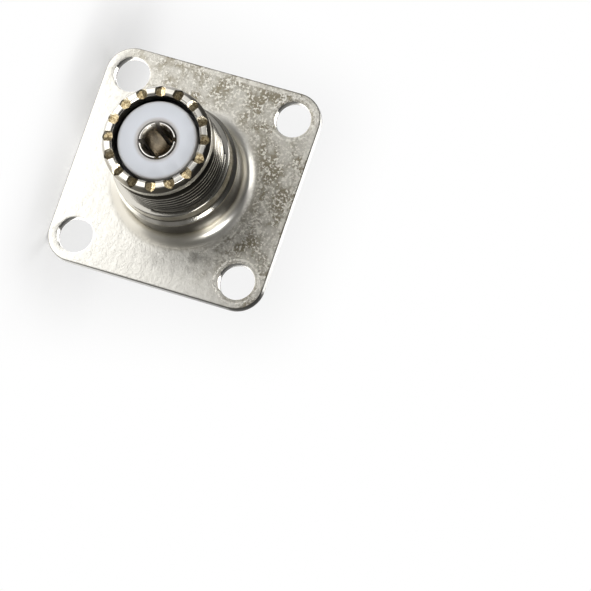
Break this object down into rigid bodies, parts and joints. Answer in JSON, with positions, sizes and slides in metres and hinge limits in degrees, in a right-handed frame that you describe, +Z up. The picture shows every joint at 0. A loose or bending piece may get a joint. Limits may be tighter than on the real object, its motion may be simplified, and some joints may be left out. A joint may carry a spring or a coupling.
{
  "type": "coaxial panel adapter",
  "caption": "Coaxial panel adapter: square screw flange, threaded socket with a toothed rim, insulated centre socket and slotted plug pin behind.",
  "frame": {"origin": "centre of the flange's flat back face, on the connector's axis", "axes": "-Y along the connector's axis out of the threaded socket, +Y along the plug pin, X and Z along the flange's sides, +Z up"},
  "size_m": [0.0336, 0.0332, 0.0336],
  "materials": {
    "plated_body": "bright nickel plate, satin back face and a grained front face",
    "insulator": "smooth waxy white fluoropolymer",
    "plated_contact": "bright plated, turned"
  },
  "bodies": {
    "root": {"flanged_body": "plated_body", "front_insulator": "insulator", "rear_insulator": "insulator", "centre_contact": "plated_contact"}
  },
  "joints": []
}
